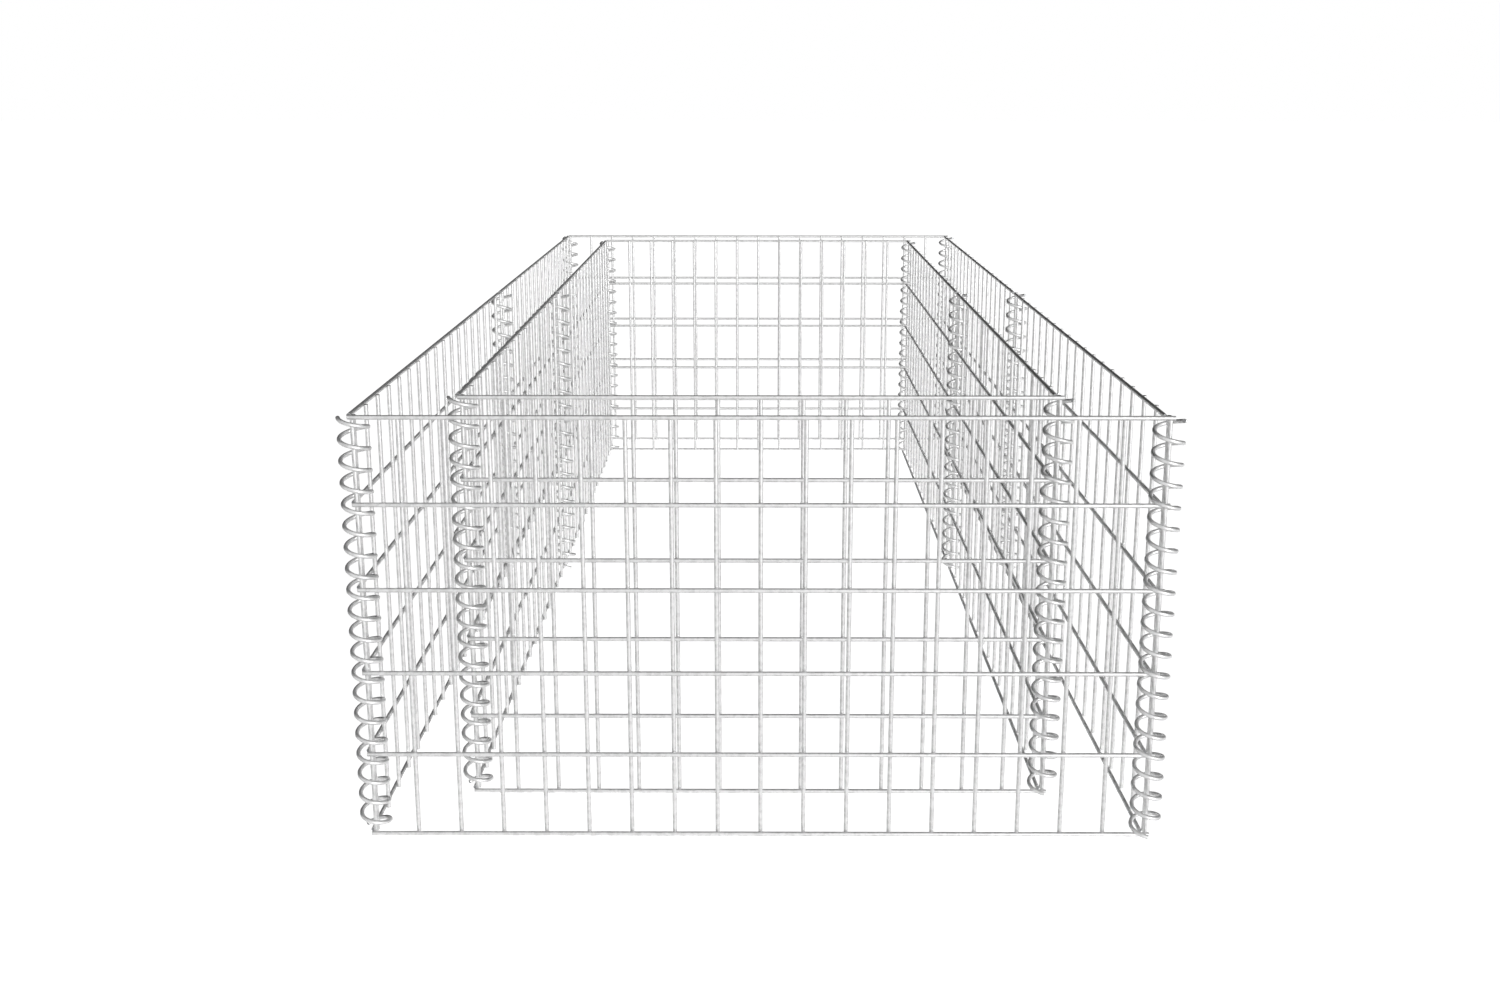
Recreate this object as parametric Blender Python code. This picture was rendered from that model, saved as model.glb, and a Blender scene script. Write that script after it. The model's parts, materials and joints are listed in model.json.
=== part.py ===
# Double-walled gabion planter, standing empty: an outer and an inner ring of welded
# wire-mesh panels, with the spiral binders that lace the panels' edge wires together.
# Metres, +Z up. The origin is on the ground in the middle of the planter, +Y is its length.

from math import asin, atan, ceil, cos, hypot, pi, radians

import bmesh
import bpy
from mathutils import Matrix, Vector

# Driving dimensions
OUTER_WIDTH = 0.900          # outer end panel, between its edge wires
OUTER_SIDE_LENGTH = 0.900    # one of the two outer panels that make a long side
STONE_GAP = 0.100            # from the outer ring to the inner ring, where the stones go
PANEL_HEIGHT = 0.500         # between the bottom and the top rail
MESH_WIDTH = 0.050           # between uprights
MESH_HEIGHT = 0.100          # between rails
MESH_WIRE = 0.004            # diameter of the panel wire
END_TAIL = 0.004             # rails of the end panels run past their edge wires by this
SIDE_TAIL = 0.002            # the same on the side panels, which swing past the end panels
SPIRAL_WIRE = 0.004          # diameter of the binder's wire
SPIRAL_BORE = 0.028          # clear width inside the binder
TURNS_PER_MESH = 4           # turns of the binder in one mesh height

# Fits and facets
WIRE_GAP = 0.0004            # between two wires that touch on the real planter
WELD_SINK = 0.0002           # how far welded wires sink into each other
CROSS_GAP = 0.0001           # between crossing wires that are left unwelded here
UPRIGHT_TRIM = 0.0003        # uprights stop this short of the rails' outer edges
WIRE_SIDES = 4               # sides of a wire, set on edge
BOTTOM_RAIL_SIDES = 6        # the bottom rail has a flat underside to stand on
SPIRAL_SIDES = 3             # sides of the binder's wire
SPIRAL_STEPS = 6             # straight steps in one turn of the binder
SPIRAL_OVERRUN = radians(10) # least angle by which the low end runs past the rail it rests on

# Derived sizes
RADIUS = MESH_WIRE / 2
SPIRAL_RADIUS = (SPIRAL_BORE + SPIRAL_WIRE) / 2
INNER_WIDTH = OUTER_WIDTH - 2 * STONE_GAP
INNER_SIDE_LENGTH = OUTER_SIDE_LENGTH - STONE_GAP
RAIL_GAPS = round(PANEL_HEIGHT / MESH_HEIGHT)
RAIL_SPACING = PANEL_HEIGHT / RAIL_GAPS
PITCH = RAIL_SPACING / TURNS_PER_MESH
BOTTOM_RAIL_Z = RADIUS * cos(pi / BOTTOM_RAIL_SIDES)
RAIL_OFFSET = MESH_WIRE + CROSS_GAP
CORNER_REACH = (MESH_WIRE + WIRE_GAP) / 2    # corner hinge axis to each edge wire
# At a mid hinge both edge wires bear on the inside of the binder, halfway along its steps.
MID_REACH = SPIRAL_RADIUS * cos(pi / SPIRAL_STEPS) - SPIRAL_WIRE / 2 - RADIUS - WIRE_GAP
SLOPE = atan(PITCH / (2 * pi * SPIRAL_RADIUS))
REST_HEIGHT = (RADIUS + SPIRAL_WIRE / 2 + WIRE_GAP) / cos(SLOPE)


def make_material(name, colour, roughness, metallic):
    material = bpy.data.materials.new(name)
    material.use_nodes = True
    shader = material.node_tree.nodes["Principled BSDF"]
    shader.inputs["Base Color"].default_value = (*colour, 1.0)
    shader.inputs["Roughness"].default_value = roughness
    shader.inputs["Metallic"].default_value = metallic
    return material


def add_wire(bm, sides, start, end):
    """A straight wire between two points, with a corner of its section turned to +Y and -Y."""
    along = end - start
    turn = Vector((0, 0, 1)).rotation_difference(along).to_matrix().to_4x4()
    place = Matrix.Translation((start + end) / 2) @ turn
    bmesh.ops.create_cone(bm, cap_ends=True, segments=sides, radius1=RADIUS, radius2=RADIUS,
                          depth=along.length, matrix=place)


def add_object(name, bm):
    mesh = bpy.data.meshes.new(name)
    bm.to_mesh(mesh)
    bm.free()
    item = bpy.data.objects.new(name, mesh)
    planter.objects.link(item)
    return item


def panel_mesh(name, length, tail):
    """A welded panel from x=0 to x=length, standing on z=0, with its rails on the -Y side.

    The top rail is welded to every upright and the edge uprights to every rail, which makes
    the panel one piece. The other crossings stay apart by CROSS_GAP.
    """
    top = BOTTOM_RAIL_Z + PANEL_HEIGHT
    rails = bmesh.new()
    for level in range(RAIL_GAPS + 1):
        z = BOTTOM_RAIL_Z + level * RAIL_SPACING
        y = -RAIL_OFFSET
        if level == RAIL_GAPS:
            y += CROSS_GAP + WELD_SINK
        sides = BOTTOM_RAIL_SIDES if level == 0 else WIRE_SIDES
        add_wire(rails, sides, Vector((-tail, y, z)), Vector((length + tail, y, z)))
    uprights = bmesh.new()
    cells = round(length / MESH_WIDTH)
    for number in range(cells + 1):
        x = length * number / cells
        y = -(CROSS_GAP + WELD_SINK) if number in (0, cells) else 0.0
        add_wire(uprights, WIRE_SIDES, Vector((x, y, UPRIGHT_TRIM)),
                 Vector((x, y, top + RADIUS - UPRIGHT_TRIM)))
    panel = add_object(name + "_rails", rails)
    cutter = add_object(name + "_uprights", uprights)
    weld = panel.modifiers.new("Weld uprights", "BOOLEAN")
    weld.operation = "UNION"
    weld.solver = "EXACT"
    weld.object = cutter
    evaluated = panel.evaluated_get(bpy.context.evaluated_depsgraph_get())
    mesh = bpy.data.meshes.new_from_object(evaluated)
    mesh.name = name
    for item in (panel, cutter):
        bpy.data.objects.remove(item)
    mesh.materials.clear()
    mesh.materials.append(galvanised_mesh)
    return mesh


def spiral_mesh(name, rest_azimuth):
    """A left-handed binder about the Z axis, resting on a rail that crosses it at rest_azimuth."""
    step = 2 * pi / SPIRAL_STEPS
    low_azimuth = step * ceil((rest_azimuth + SPIRAL_OVERRUN) / step)
    low_z = BOTTOM_RAIL_Z + REST_HEIGHT - PITCH * (low_azimuth - rest_azimuth) / (2 * pi)
    steps = RAIL_GAPS * TURNS_PER_MESH * SPIRAL_STEPS
    bm = bmesh.new()
    # The section starts with a corner towards the axis, in the upright plane of the low end.
    upright = Matrix.Rotation(pi / 2, 4, "X") @ Matrix.Rotation(pi / 2, 4, "Z")
    place = Matrix.Rotation(low_azimuth, 4, "Z") @ Matrix.Translation((SPIRAL_RADIUS, 0, low_z))
    bmesh.ops.create_circle(bm, cap_ends=True, radius=SPIRAL_WIRE / 2, segments=SPIRAL_SIDES,
                            matrix=place @ upright)
    bmesh.ops.spin(bm, geom=bm.verts[:] + bm.edges[:] + bm.faces[:], cent=(0, 0, 0),
                   axis=(0, 0, 1), dvec=(0, 0, PITCH / SPIRAL_STEPS), angle=-step * steps,
                   steps=steps)
    bmesh.ops.recalc_face_normals(bm, faces=bm.faces[:])
    mesh = bpy.data.meshes.new(name)
    bm.to_mesh(mesh)
    bm.free()
    mesh.materials.append(galvanised_spiral)
    return mesh


def crossing(offset):
    """Angle by which a rail beside a hinge axis crosses the binder off the square."""
    apothem = SPIRAL_RADIUS * cos(pi / SPIRAL_STEPS)
    return asin(offset / hypot(offset, apothem))


def add_axis(name, point, parent=None):
    """An upright hinge axis: an empty that carries the pieces that turn about it."""
    axis = bpy.data.objects.new(name, None)
    axis.empty_display_size = SPIRAL_BORE
    planter.objects.link(axis)
    axis.parent = parent
    axis.location = point - world_point[parent.name] if parent else point
    world_point[name] = point
    return axis


def place(name, mesh, parent, point, turn=0.0):
    """Hang a piece on a hinge axis, at a point of the planter's own frame."""
    item = bpy.data.objects.new(name, mesh)
    planter.objects.link(item)
    item.parent = parent
    item.location = point - world_point[parent.name]
    item.rotation_euler.z = turn
    return item


def add_ring(ring, width, side_length):
    """Six panels and six binders that make one closed wall, hinged round from its front panel."""
    half_width = width / 2
    corner_y = MID_REACH + side_length + CORNER_REACH
    end_y = corner_y + CORNER_REACH
    end_mesh = panel_mesh(ring + "_end", width, END_TAIL)
    side_mesh = panel_mesh(ring + "_side", side_length, SIDE_TAIL)

    front = add_axis(ring + "_front", Vector((0, -end_y, 0)))
    place(ring + "_front_panel", end_mesh, front, Vector((-half_width, -end_y, 0)))
    for side, x in (("left", -half_width), ("right", half_width)):
        front_corner = Vector((x, -corner_y, 0))
        middle = Vector((x, 0, 0))
        back_corner = Vector((x, corner_y, 0))
        near = add_axis(f"{ring}_front_{side}_axis", front_corner, front)
        far = add_axis(f"{ring}_mid_{side}_axis", middle, near)
        # Side panels run from their back edge towards -Y, with their rails on the -X side.
        place(f"{ring}_{side}_front_panel", side_mesh, near, Vector((x, -MID_REACH, 0)), -pi / 2)
        place(f"{ring}_{side}_back_panel", side_mesh, far,
              Vector((x, MID_REACH + side_length, 0)), -pi / 2)
        # A side panel's rails cross its binders 'lean' past the square, on the -X side.
        lean = crossing(RAIL_OFFSET)
        end_lean = crossing(CORNER_REACH + RAIL_OFFSET)
        mid_rest = 1.5 * pi - lean
        place(f"{ring}_mid_{side}_spiral", spiral_mesh(f"{ring}_mid_{side}", mid_rest), near, middle)
        if side == "left":
            back = add_axis(f"{ring}_back_left_axis", back_corner, far)
            place(f"{ring}_back_panel", end_mesh, back, Vector((half_width, end_y, 0)), pi)
            carriers = (near, pi / 2 + lean), (back, end_lean)
        else:
            carriers = (front, pi + end_lean), (far, mid_rest)
        for row, corner, (carrier, rest) in zip(("front", "back"), (front_corner, back_corner),
                                                carriers):
            name = f"{ring}_{row}_{side}_spiral"
            place(name, spiral_mesh(name, rest), carrier, corner)


for item in list(bpy.data.objects):
    bpy.data.objects.remove(item)
planter = bpy.data.collections.new("gabion_planter")
bpy.context.scene.collection.children.link(planter)
world_point = {}
galvanised_mesh = make_material("galvanised_mesh_wire", (0.72, 0.73, 0.74), 0.42, 0.75)
galvanised_spiral = make_material("galvanised_spiral_wire", (0.78, 0.79, 0.80), 0.38, 0.75)
add_ring("outer", OUTER_WIDTH, OUTER_SIDE_LENGTH)
add_ring("inner", INNER_WIDTH, INNER_SIDE_LENGTH)
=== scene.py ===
# Galvanised gabion planter, standing empty: round welded wires and fine spiral binders.
import json
from math import asin, atan, cos, pi, radians, sin, tau

import bmesh
import bpy
from mathutils import Matrix, Vector


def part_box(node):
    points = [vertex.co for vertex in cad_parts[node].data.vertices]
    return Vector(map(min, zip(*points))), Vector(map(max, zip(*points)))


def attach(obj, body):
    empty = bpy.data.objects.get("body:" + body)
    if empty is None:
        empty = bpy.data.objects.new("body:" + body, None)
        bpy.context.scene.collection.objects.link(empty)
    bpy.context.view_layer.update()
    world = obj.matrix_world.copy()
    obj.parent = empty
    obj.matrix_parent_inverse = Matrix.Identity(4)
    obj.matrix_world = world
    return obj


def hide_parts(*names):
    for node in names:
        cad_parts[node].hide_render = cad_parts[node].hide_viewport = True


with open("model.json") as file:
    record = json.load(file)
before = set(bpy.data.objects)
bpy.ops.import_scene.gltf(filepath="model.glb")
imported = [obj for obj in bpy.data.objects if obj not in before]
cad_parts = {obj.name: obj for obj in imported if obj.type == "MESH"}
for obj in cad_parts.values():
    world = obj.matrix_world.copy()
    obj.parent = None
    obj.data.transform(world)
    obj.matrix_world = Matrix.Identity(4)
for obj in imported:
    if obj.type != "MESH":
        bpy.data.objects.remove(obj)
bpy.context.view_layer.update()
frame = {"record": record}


# Small helpers

def linear(hexColour):    # sRGB hex to the linear values that shaders take
    parts = [int(hexColour[i:i + 2], 16) / 255 for i in (1, 3, 5)]
    return [p / 12.92 if p <= 0.04045 else ((p + 0.055) / 1.055) ** 2.4 for p in parts] + [1.0]


def grey(level):    # already linear
    return [level] * 3 + [1.0]


def addNode(tree, kind, settings=None, inputs=None):    # an input is a value or a socket
    node = tree.nodes.new(kind)
    for name, value in (settings or {}).items():
        setattr(node, name, value)
    for name, value in (inputs or {}).items():
        if isinstance(value, bpy.types.NodeSocket):
            tree.links.new(value, node.inputs[name])
        else:
            node.inputs[name].default_value = value
    return node


def newMaterial(name):
    material = bpy.data.materials.new(name)
    material.use_nodes = True
    return material, material.node_tree, material.node_tree.nodes["Principled BSDF"]


def newMesh(name, bm):
    mesh = bpy.data.meshes.new(name)
    bm.to_mesh(mesh)
    bm.free()
    return mesh


sharpAngle = radians(42)    # keeps the cut ends crisp


def newPiece(name, bm, materials):
    mesh = newMesh(name, bm)
    mesh.shade_smooth()
    mesh.set_sharp_from_angle(angle=sharpAngle)
    for material in materials:
        mesh.materials.append(material)
    piece = bpy.data.objects.new(name, mesh)
    bpy.context.scene.collection.objects.link(piece)
    return piece


def newVerts(made):
    return [item for item in made["geom"] if isinstance(item, bmesh.types.BMVert)]


def newEdges(made):
    return [item for item in made["geom"] if isinstance(item, bmesh.types.BMEdge)]


def nodesEnding(ending):    # each such solid, with the body that it rides on
    bodies = frame["record"]["behaviour"]["bodies"]
    return [(body, node) for body, members in bodies.items()
            for node in members if node.endswith(ending)]


# Zinc on drawn steel wire

zinc = {
    "meshColour": "#E2E2E2",       # bright new zinc
    "meshDull": "#CDCDCD",         # where the coat has dulled
    "spiralColour": "#E6E6E6",
    "spiralDull": "#D2D2D2",
    "metallic": 0.60,              # the matt zinc skin scatters part of the light
    "roughness": (0.34, 0.46),     # between the smooth runs and the dull patches
    "patch": 0.007,                # size of the dull patches
    "patchDetail": 3.0,
    "patchRoughness": 0.55,
    "patchLimits": (0.38, 0.66),   # noise values where a dull patch starts and is full
    "ripple": 0.0012,              # size of the ripples left by wiping the hot zinc
    "rippleDetail": 2.0,
    "rippleHeight": 0.00004,
    "rippleStrength": 0.6,
}
bareSteel = {
    "weldColour": "#B4B6B6",       # zinc burnt off round a weld
    "weldMetallic": 0.6,
    "weldRoughness": 0.55,
    "weldGrain": 0.0005,
    "cutColour": "#8C8D8E",        # sheared steel, no zinc
    "cutMetallic": 0.9,
    "cutRoughness": 0.45,
    "cutGrain": 0.0004,
    "grainDetail": 2.0,
    "roughnessSpread": 0.1,
}


def zincMaterial(name, bright, dull):
    # Hot-dip galvanised wire: a pale metal with a faint mottle and a rippled skin.
    material, tree, shader = newMaterial(name)
    place = addNode(tree, "ShaderNodeTexCoord").outputs["Object"]
    mottle = addNode(tree, "ShaderNodeTexNoise", None,
                     {"Vector": place, "Scale": 1 / zinc["patch"],
                      "Detail": zinc["patchDetail"], "Roughness": zinc["patchRoughness"]})
    start, full = zinc["patchLimits"]
    spread = addNode(tree, "ShaderNodeMapRange", {"interpolation_type": "SMOOTHSTEP"},
                     {"Value": mottle.outputs["Fac"], "From Min": start, "From Max": full})
    colour = addNode(tree, "ShaderNodeMix", {"data_type": "RGBA"},
                     {0: spread.outputs["Result"], 6: linear(bright), 7: linear(dull)})
    low, high = zinc["roughness"]
    gloss = addNode(tree, "ShaderNodeMapRange", None,
                    {"Value": spread.outputs["Result"], "To Min": low, "To Max": high})
    ripples = addNode(tree, "ShaderNodeTexNoise", None,
                      {"Vector": place, "Scale": 1 / zinc["ripple"],
                       "Detail": zinc["rippleDetail"]})
    bump = addNode(tree, "ShaderNodeBump", None,
                   {"Height": ripples.outputs["Fac"], "Distance": zinc["rippleHeight"],
                    "Strength": zinc["rippleStrength"]})
    tree.links.new(colour.outputs[2], shader.inputs["Base Color"])
    tree.links.new(gloss.outputs["Result"], shader.inputs["Roughness"])
    tree.links.new(bump.outputs["Normal"], shader.inputs["Normal"])
    shader.inputs["Metallic"].default_value = zinc["metallic"]
    return material


def bareMaterial(name, part):
    # Steel without its zinc: a grainy dull metal.
    material, tree, shader = newMaterial(name)
    roughness, either = bareSteel[part + "Roughness"], bareSteel["roughnessSpread"]
    place = addNode(tree, "ShaderNodeTexCoord").outputs["Object"]
    grit = addNode(tree, "ShaderNodeTexNoise", None,
                   {"Vector": place, "Scale": 1 / bareSteel[part + "Grain"],
                    "Detail": bareSteel["grainDetail"]})
    rough = addNode(tree, "ShaderNodeMapRange", None,
                    {"Value": grit.outputs["Fac"], "To Min": roughness - either,
                     "To Max": roughness + either})
    tree.links.new(rough.outputs["Result"], shader.inputs["Roughness"])
    shader.inputs["Base Color"].default_value = linear(bareSteel[part + "Colour"])
    shader.inputs["Metallic"].default_value = bareSteel[part + "Metallic"]
    return material


meshWire = zincMaterial("galvanised mesh wire", zinc["meshColour"], zinc["meshDull"])
spiralWire = zincMaterial("galvanised spiral wire", zinc["spiralColour"], zinc["spiralDull"])
weldSpot = bareMaterial("resistance weld", "weld")
shearedEnd = bareMaterial("sheared wire end", "cut")
print("materials: galvanised wire, welds, sheared ends")


# Welded mesh panels

panel = {
    "wire": 0.0052,           # thinner than in the photo, as the hinges have room for no more
    "solidWire": 0.004,
    "sides": 10,
    "cellWidth": 0.050,
    "cellHeight": 0.100,
    "endTail": 0.004,         # rails of the end panels run past the edge uprights by this
    "sideTail": 0.002,
    "cornerReach": 0.0022,    # corner hinge axis to the solids' edge uprights
    "cornerRoom": 0.00065,    # how much further off the axis these thicker uprights stand
    "weldSink": 0.00025,      # how far a weld presses the crossing wires together
    "weldFillet": 0.0002,
    "knotReach": 0.0015,      # half the wire that is modelled with each weld
    "uprightEnd": 0.0005,     # uprights stop this far past the middle of the outer rails
    "chamfer": 0.0003,        # burr-free edge of a sheared end
    "squareOn": 0.999,        # a face whose normal has this much of an axis looks along it
    "hair": 1e-6,             # points this near a plane lie in it
    "merge": 1e-5,            # points this near each other become one
}
weldSlot, cutSlot = 1, 2      # of a piece's materials; the wire's own is 0
railY = panel["weldSink"] - panel["wire"]    # middle of a rail, from the middle of an upright


def closeEnd(bm, ring, centre, along, radius):    # a chamfered, sheared wire end
    made = bmesh.ops.extrude_edge_only(bm, edges=ring)
    verts = newVerts(made)
    shrink = (radius - panel["chamfer"]) / radius
    bmesh.ops.scale(bm, vec=(shrink,) * 3, space=Matrix.Translation(-centre), verts=verts)
    bmesh.ops.translate(bm, verts=verts, vec=along * panel["chamfer"])
    rim = [e for e in newEdges(made) if e.is_boundary]
    cap = bmesh.ops.contextual_create(bm, geom=rim)["faces"]
    for face in cap:
        face.material_index = cutSlot


def openEdges(edges, axis, sign, distance):    # those that bound a hole square to the axis
    return [e for e in edges if e.is_boundary
            and all(abs(v.co[axis] * sign - distance) < panel["hair"] for v in e.verts)]


def weldKnot(above, below):    # a rail stub fused to an upright stub, open where wires go on
    radius, reach = panel["wire"] / 2, panel["knotReach"]
    rail = Matrix.Translation((0, railY, 0)) @ Matrix.Rotation(pi / 2, 4, "Y")
    upright = Matrix.Translation((0, 0, (above - below) / 2))
    stubs = []
    for place, length in ((rail, 2 * reach), (upright, above + below)):
        bm = bmesh.new()
        bmesh.ops.create_cone(bm, cap_ends=True, segments=panel["sides"], radius1=radius,
                              radius2=radius, depth=length, matrix=place)
        stubs.append(newPiece("stub", bm, []))
    join = stubs[0].modifiers.new("join", "BOOLEAN")
    join.operation = "UNION"
    join.object = stubs[1]
    joined = stubs[0].evaluated_get(bpy.context.evaluated_depsgraph_get())
    bm = bmesh.new()
    bm.from_mesh(joined.to_mesh())
    for stub in stubs:
        bpy.data.objects.remove(stub)
    caps, cut = [], []
    for face in bm.faces:
        centre = face.calc_center_median()
        for axis, length in ((0, reach), (2, above), (2, below)):
            if (abs(face.normal[axis]) > panel["squareOn"]
                    and abs(abs(centre[axis]) - length) < panel["hair"]):
                (cut if length < reach else caps).append(face)
                break
    bmesh.ops.delete(bm, geom=caps, context="FACES")
    for face in cut:
        face.material_index = cutSlot
    bm.normal_update()
    isRail = {f: f not in cut and abs(f.normal.x) < abs(f.normal.z) for f in bm.faces}
    crease = [e for e in bm.edges if len({isRail[f] for f in e.link_faces}) == 2]
    fillet = bmesh.ops.bevel(bm, geom=crease, offset=panel["weldFillet"], segments=1,
                             profile=0.5, affect="EDGES", material=-1)
    for face in fillet["faces"]:
        face.material_index = weldSlot
    return newMesh("weld knot", bm)


def knotWithArms(knot, arms):    # arms: (axis, sign, length from the crossing, ends there)
    radius, reach = panel["wire"] / 2, panel["knotReach"]
    bm = bmesh.new()
    bm.from_mesh(knot)
    for axis, sign, length, ends in arms:
        along = Vector((0, 0, 0))
        along[axis] = sign
        made = bmesh.ops.extrude_edge_only(bm, edges=openEdges(bm.edges, axis, sign, reach))
        stop = length - panel["chamfer"] if ends else length
        bmesh.ops.translate(bm, verts=newVerts(made), vec=along * (stop - reach))
        if ends:
            centre = along * stop
            if axis == 0:
                centre.y = railY
            closeEnd(bm, openEdges(newEdges(made), axis, sign, stop), centre, along, radius)
    return newMesh("knot", bm)


def weldedGrid(columns, rows, width, tail):    # from x=0, its rails on the -Y side, on z=0
    radius, reach, height = panel["wire"] / 2, panel["knotReach"], panel["cellHeight"]
    kinds = {}
    bm = bmesh.new()
    for column in range(columns + 1):
        for row in range(rows + 1):
            first, last = column == 0, column == columns
            low, high = row == 0, row == rows
            kind = (first, last, low, high)
            if kind not in kinds:
                arms = [(0, 1, tail if last else width - reach, last)]
                if first:
                    arms.append((0, -1, tail, True))
                if not high:
                    arms.append((2, 1, height - reach, False))
                knot = weldKnot(panel["uprightEnd"] if high else reach,
                                panel["uprightEnd"] if low else reach)
                kinds[kind] = knotWithArms(knot, arms)
            here = len(bm.verts)
            bm.from_mesh(kinds[kind])
            bm.verts.ensure_lookup_table()
            bmesh.ops.translate(bm, verts=bm.verts[here:],
                                vec=(column * width, 0, radius + row * height))
    bmesh.ops.remove_doubles(bm, verts=bm.verts[:], dist=panel["merge"])
    bmesh.ops.recalc_face_normals(bm, faces=bm.faces[:])
    return bm


def dressPanels():
    radius, room = panel["solidWire"] / 2, panel["cornerRoom"]
    for body, node in nodesEnding("_panel"):
        low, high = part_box(node)
        size = high - low
        isEnd = size.x > size.y
        tail = panel["endTail"] if isEnd else panel["sideTail"]
        length = max(size.x, size.y) - 2 * tail
        columns = round(length / panel["cellWidth"])
        rows = round(size.z / panel["cellHeight"])
        atFront = low.y < 0
        if not isEnd:    # rails on the -X side, from the back edge forwards
            length -= room
            backEdge = high.y - tail - (0 if atFront else room)
            turn, start = -pi / 2, (high.x - radius, backEdge, 0)
        elif atFront:    # rails to the front
            turn, start = 0, (low.x + tail, high.y - radius - room, 0)
        else:    # rails to the back
            turn, start = pi, (high.x - tail, low.y + radius + room, 0)
        bm = weldedGrid(columns, rows, length / columns, tail)
        bm.transform(Matrix.Translation(start) @ Matrix.Rotation(turn, 4, "Z"))
        piece = newPiece(node + "_welded", bm, [meshWire, weldSpot, shearedEnd])
        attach(piece, body)
        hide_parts(node)
        print("panel:", node, columns, "by", rows, "cells")


dressPanels()


# Spiral binders

spiral = {
    "wire": 0.005,
    "solidWire": 0.004,
    "solidCorner": radians(30),    # how far off the upright the solids' wire has its top corner
    "radius": 0.016,          # to the middle of the wire
    "turnsPerCell": 4,
    "topCut": 0.00375,        # the top end stops this much lower than the solid's
    "rest": 0.00006,          # left between a coil and the rail that carries it
    "lean": 0.00106,          # tilt of a left middle coil, so that rails swing through its turns
    "leanTo": radians(225),
    "sides": 10,
    "stepsPerTurn": 32,
    "endSearch": 1.2,         # an end's own edges lie within this many wire radii of its centre
}


def restAzimuths():    # where each coil crosses the bottom rail of the panel that carries it
    railOffset = panel["wire"] - panel["weldSink"]
    cornerOffset = panel["cornerReach"] + panel["cornerRoom"] + railOffset
    side = asin(railOffset / spiral["radius"])
    end = asin(cornerOffset / spiral["radius"])
    behind = 1.5 * pi - side
    return {"front_left": pi / 2 + side, "mid_left": behind, "back_left": end,
            "front_right": pi + end, "mid_right": behind, "back_right": behind}


def dressSpirals():
    pitch = panel["cellHeight"] / spiral["turnsPerCell"]
    slope = atan(pitch / (tau * spiral["radius"]))
    radius = spiral["wire"] / 2
    endReach = spiral["solidWire"] / 2 * cos(spiral["solidCorner"])
    carried = panel["wire"] / 2 + (panel["wire"] / 2 + radius + spiral["rest"]) / cos(slope)
    azimuths = restAzimuths()
    for body, node in nodesEnding("_spiral"):
        low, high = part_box(node)
        axis = (low + high) / 2
        corner = "_".join(node.split("_")[1:3])
        lean = spiral["lean"] if corner == "mid_left" else 0
        rest = azimuths[corner]
        bottom, top = low.z + endReach, high.z - endReach - spiral["topCut"]
        rise = top - bottom
        sweep = tau * rise / pitch
        # The coil turns left-handed: it climbs as its azimuth falls.
        height = carried - lean * cos(rest - spiral["leanTo"])
        azimuth = rest + tau * (height - bottom) / pitch
        steps = round(rise / pitch * spiral["stepsPerTurn"])
        bm = bmesh.new()
        place = (Matrix.Translation((axis.x, axis.y, bottom))
                 @ Matrix.Rotation(azimuth, 4, "Z")
                 @ Matrix.Translation((spiral["radius"], 0, 0))
                 @ Matrix.Rotation(pi / 2 - slope, 4, "X"))
        bmesh.ops.create_circle(bm, cap_ends=False, radius=radius, segments=spiral["sides"],
                                matrix=place)
        bmesh.ops.spin(bm, geom=bm.verts[:] + bm.edges[:], cent=(axis.x, axis.y, 0),
                       axis=(0, 0, 1), dvec=(0, 0, rise / steps), angle=-sweep, steps=steps)
        for end, z, way in ((azimuth, bottom, -1), (azimuth - sweep, top, 1)):
            centre = Vector((axis.x + spiral["radius"] * cos(end),
                             axis.y + spiral["radius"] * sin(end), z))
            along = Vector((sin(end) * cos(slope), -cos(end) * cos(slope), sin(slope))) * way
            ring = [e for e in bm.edges if e.is_boundary
                    and (e.verts[0].co - centre).length < spiral["endSearch"] * radius]
            closeEnd(bm, ring, centre, along, radius)
        if lean:
            across = (Vector((cos(spiral["leanTo"]), sin(spiral["leanTo"]), 0))
                      / spiral["radius"])
            for vert in bm.verts:
                vert.co.z += lean * across.dot(vert.co - axis)
        bmesh.ops.recalc_face_normals(bm, faces=bm.faces[:])
        piece = newPiece(node + "_coil", bm, [spiralWire, weldSpot, shearedEnd])
        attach(piece, body)
        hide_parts(node)
        print("spiral:", node, round(rise / pitch, 2), "turns from z", round(bottom, 5))


dressSpirals()


# Floor, daylight and camera

studio = {
    "floorSize": 60.0,
    "floorPaint": 0.9,
    "floorGlow": 0.86,            # with the light on it this makes the floor white
    "floorBounce": 0.15,          # what the floor gives back to the wires
    "skyDark": 0.0,               # what shiny wires mirror high up behind the planter
    "skyLine": 0.03,              # height at which the mirrored sky has turned dark
    "skyTurn": 0.3,               # how gradually it turns dark from the front to the back
    "ambient": 0.10,
    "keyFrom": (0.52, -0.84, 0.14),    # low and soft, from the front right
    "keyStrength": 2.05,               # the part that casts no shadows
    "shadowStrength": 0.6,             # the part that does
    "keySpread": radians(14),
    "fillFrom": (-0.05, 0.98, 0.08),   # a weaker one from the back
    "fillStrength": 0.9,
    "fillSpread": radians(30),
}


def lightPathFactor(tree, names):    # 1 for a ray of any of these kinds
    path = addNode(tree, "ShaderNodeLightPath")
    total = path.outputs[names[0]]
    for name in names[1:]:
        total = addNode(tree, "ShaderNodeMath", {"operation": "MAXIMUM"},
                        {0: total, 1: path.outputs[name]}).outputs[0]
    return total


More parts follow.
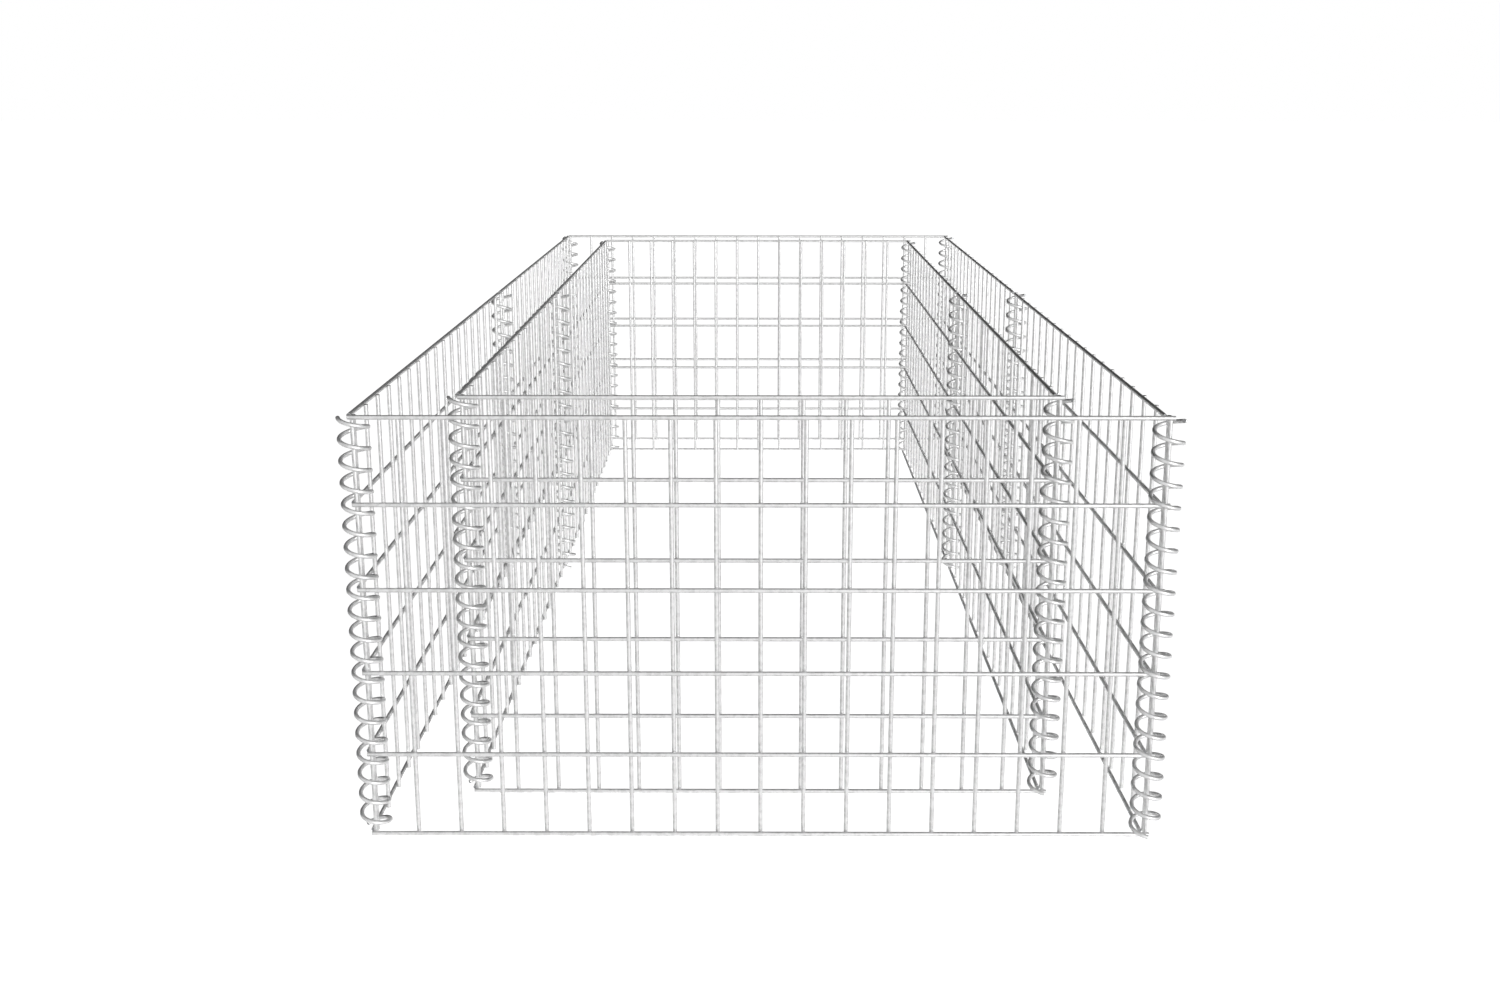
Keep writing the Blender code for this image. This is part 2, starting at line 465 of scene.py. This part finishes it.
def makeFloor():
    bm = bmesh.new()
    bmesh.ops.create_grid(bm, x_segments=1, y_segments=1, size=studio["floorSize"] / 2)
    material, tree, shader = newMaterial("white studio floor")
    tree.nodes.remove(shader)
    seen = lightPathFactor(tree, ["Is Camera Ray", "Is Glossy Ray", "Is Transmission Ray"])
    paint = addNode(tree, "ShaderNodeBsdfDiffuse", None, {"Color": grey(studio["floorPaint"])})
    glow = addNode(tree, "ShaderNodeEmission", None, {"Strength": studio["floorGlow"]})
    lit = addNode(tree, "ShaderNodeAddShader", None, {0: paint.outputs[0], 1: glow.outputs[0]})
    bounce = addNode(tree, "ShaderNodeBsdfDiffuse", None,
                     {"Color": grey(studio["floorBounce"])})
    mixed = addNode(tree, "ShaderNodeMixShader", None,
                    {0: seen, 1: bounce.outputs[0], 2: lit.outputs[0]})
    tree.links.new(mixed.outputs[0], tree.nodes["Material Output"].inputs["Surface"])
    floor = newPiece("studio_floor", bm, [material])


def makeWorld():
    world = bpy.data.worlds.new("white studio")
    bpy.context.scene.world = world
    world.use_nodes = True
    tree = world.node_tree
    backdrop = tree.nodes["Background"]
    way = addNode(tree, "ShaderNodeSeparateXYZ", None,
                  {0: addNode(tree, "ShaderNodeTexCoord").outputs["Generated"]})
    high = addNode(tree, "ShaderNodeMapRange", {"interpolation_type": "SMOOTHSTEP"},
                   {"Value": way.outputs["Z"], "From Min": 0.0, "From Max": studio["skyLine"]})
    behind = addNode(tree, "ShaderNodeMapRange", {"interpolation_type": "SMOOTHSTEP"},
                     {"Value": way.outputs["Y"], "From Min": -studio["skyTurn"],
                      "From Max": studio["skyTurn"]})
    dark = addNode(tree, "ShaderNodeMath", {"operation": "MULTIPLY"},
                   {0: high.outputs["Result"], 1: behind.outputs["Result"]})
    mirrored = addNode(tree, "ShaderNodeMix", {"data_type": "RGBA"},
                       {0: dark.outputs[0], 6: grey(1.0), 7: grey(studio["skyDark"])})
    glossy = lightPathFactor(tree, ["Is Glossy Ray"])
    ambient = addNode(tree, "ShaderNodeMix", {"data_type": "RGBA"},
                      {0: glossy, 6: grey(studio["ambient"]), 7: mirrored.outputs[2]})
    seen = lightPathFactor(tree, ["Is Camera Ray", "Is Transmission Ray"])
    colour = addNode(tree, "ShaderNodeMix", {"data_type": "RGBA"},
                     {0: seen, 6: ambient.outputs[2], 7: grey(1.0)})
    tree.links.new(colour.outputs[2], backdrop.inputs["Color"])


def makeLamp(name, comesFrom, strength, spread, glints=True, shadows=True):
    data = bpy.data.lights.new(name, "SUN")
    data.energy = strength
    data.angle = spread
    data.use_shadow = shadows
    lamp = bpy.data.objects.new(name, data)
    lamp.rotation_euler = Vector(comesFrom).to_track_quat("Z", "Y").to_euler()
    lamp.visible_glossy = glints
    bpy.context.scene.collection.objects.link(lamp)


photoView = {
    "size": (1500, 1000),             # pixels
    "focal": 1384.72,                 # pixels
    "centre": (752.52, 371.17),       # where the lens axis meets the picture
    "place": (-0.0061, -2.3939, 0.8608),
    "pitch": 0.2047,
    "yaw": -0.0024,
    "roll": -0.0005,
    "sensor": 36,                     # millimetres
}


def makeCamera():
    data = bpy.data.cameras.new("camera")
    width, height = photoView["size"]
    data.sensor_width = photoView["sensor"]
    data.lens = photoView["focal"] / width * data.sensor_width
    data.shift_x = (width / 2 - photoView["centre"][0]) / width
    data.shift_y = (photoView["centre"][1] - height / 2) / width
    camera = bpy.data.objects.new("camera", data)
    camera.location = photoView["place"]
    camera.rotation_euler = (pi / 2 - photoView["pitch"], photoView["roll"], -photoView["yaw"])
    bpy.context.scene.collection.objects.link(camera)
    bpy.context.scene.camera = camera


makeFloor()
makeWorld()
makeLamp("front light", studio["keyFrom"], studio["keyStrength"], studio["keySpread"],
         shadows=False)
makeLamp("shadow light", studio["keyFrom"], studio["shadowStrength"], studio["keySpread"])
makeLamp("back light", studio["fillFrom"], studio["fillStrength"], studio["fillSpread"],
         glints=False, shadows=False)
makeCamera()
bpy.context.scene.view_settings.view_transform = "Standard"
print("studio: floor, light and camera")
